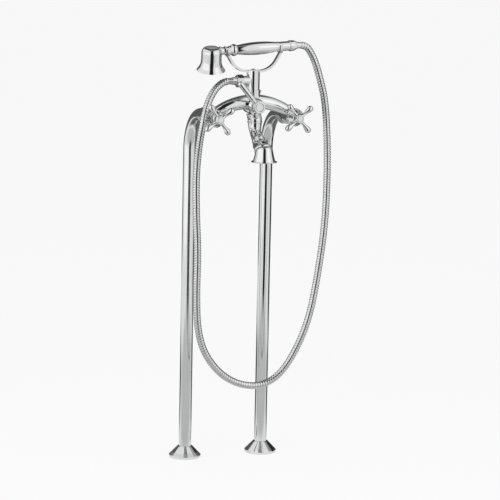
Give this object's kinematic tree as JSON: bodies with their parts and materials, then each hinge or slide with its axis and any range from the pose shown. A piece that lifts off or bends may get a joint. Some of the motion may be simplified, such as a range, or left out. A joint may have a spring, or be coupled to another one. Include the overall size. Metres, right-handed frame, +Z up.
{
  "type": "floor standing bath filler",
  "caption": "Floor standing bath and shower mixer: twin standpipes, arched body with cross handle valves, cast spout, lever diverter, cradle, telephone hand shower and hose.",
  "frame": {"origin": "on the floor, midway between the two standpipes' centre lines", "axes": "+X to the right as the user faces the taps, +Y to the back, +Z up"},
  "size_m": [0.3161, 0.2939, 0.9434],
  "materials": {
    "polished_chrome": "polished plating",
    "black_rubber": "matte",
    "bare_brass": "machined",
    "stainless_steel": "turned",
    "grey_plastic": "satin moulding"
  },
  "bodies": {
    "frame": {"bonnet_left": "polished_chrome", "bonnet_right": "polished_chrome", "column": "polished_chrome", "column_screw": "stainless_steel", "cradle": "polished_chrome", "cradle_screw": "stainless_steel", "diverter_bonnet": "polished_chrome", "diverter_cartridge": "bare_brass", "floor_anchor_left": "bare_brass", "floor_anchor_right": "bare_brass", "floor_flange_left": "polished_chrome", "floor_flange_right": "polished_chrome", "flow_straightener": "grey_plastic", "hose_ferrule_outlet": "polished_chrome", "hose_nut_outlet": "polished_chrome", "hose_outlet": "polished_chrome", "hose_washer_outlet": "black_rubber", "mixer_body": "polished_chrome", "shower_hose": "polished_chrome", "spout": "polished_chrome", "standpipe_left": "polished_chrome", "standpipe_right": "polished_chrome", "union_nut_left": "polished_chrome", "union_nut_right": "polished_chrome", "union_washer_left": "black_rubber", "union_washer_right": "black_rubber", "valve_cartridge_left": "bare_brass", "valve_cartridge_right": "bare_brass"},
    "left_handle": {"cross_handle_left": "polished_chrome", "handle_screw_left": "stainless_steel", "index_button_left": "polished_chrome", "valve_spindle_left": "bare_brass"},
    "right_handle": {"cross_handle_right": "polished_chrome", "handle_screw_right": "stainless_steel", "index_button_right": "polished_chrome", "valve_spindle_right": "bare_brass"},
    "diverter": {"diverter_lever": "polished_chrome", "diverter_button": "polished_chrome", "diverter_screw": "stainless_steel", "diverter_spindle": "bare_brass"},
    "hand_shower": {"handset_head": "polished_chrome", "spray_plate": "grey_plastic", "grip_ferrule": "polished_chrome", "grip_barrel": "polished_chrome", "grip_core_tube": "bare_brass", "grip_end_ring": "polished_chrome", "handset_tail": "polished_chrome", "hose_nut_handset": "polished_chrome", "hose_washer_handset": "black_rubber", "hose_ferrule_handset": "polished_chrome"}
  },
  "joints": [
    {"name": "left_valve_turn", "type": "hinge", "parent": "frame", "child": "left_handle", "pos_m": [-0.09, -0.197, 0.779], "axis": [0, -1, 0], "range_deg": [0, 90]},
    {"name": "right_valve_turn", "type": "hinge", "parent": "frame", "child": "right_handle", "pos_m": [0.09, -0.197, 0.779], "axis": [0, 1, 0], "range_deg": [0, 90]},
    {"name": "diverter_turn", "type": "hinge", "parent": "frame", "child": "diverter", "pos_m": [0, -0.19, 0.804], "axis": [0, 1, 0], "range_deg": [0, 90]},
    {"name": "hand_shower_lift", "type": "slide", "parent": "frame", "child": "hand_shower", "axis": [-0.0663, 0, 0.9978], "range_m": [0, 0.1]}
  ]
}
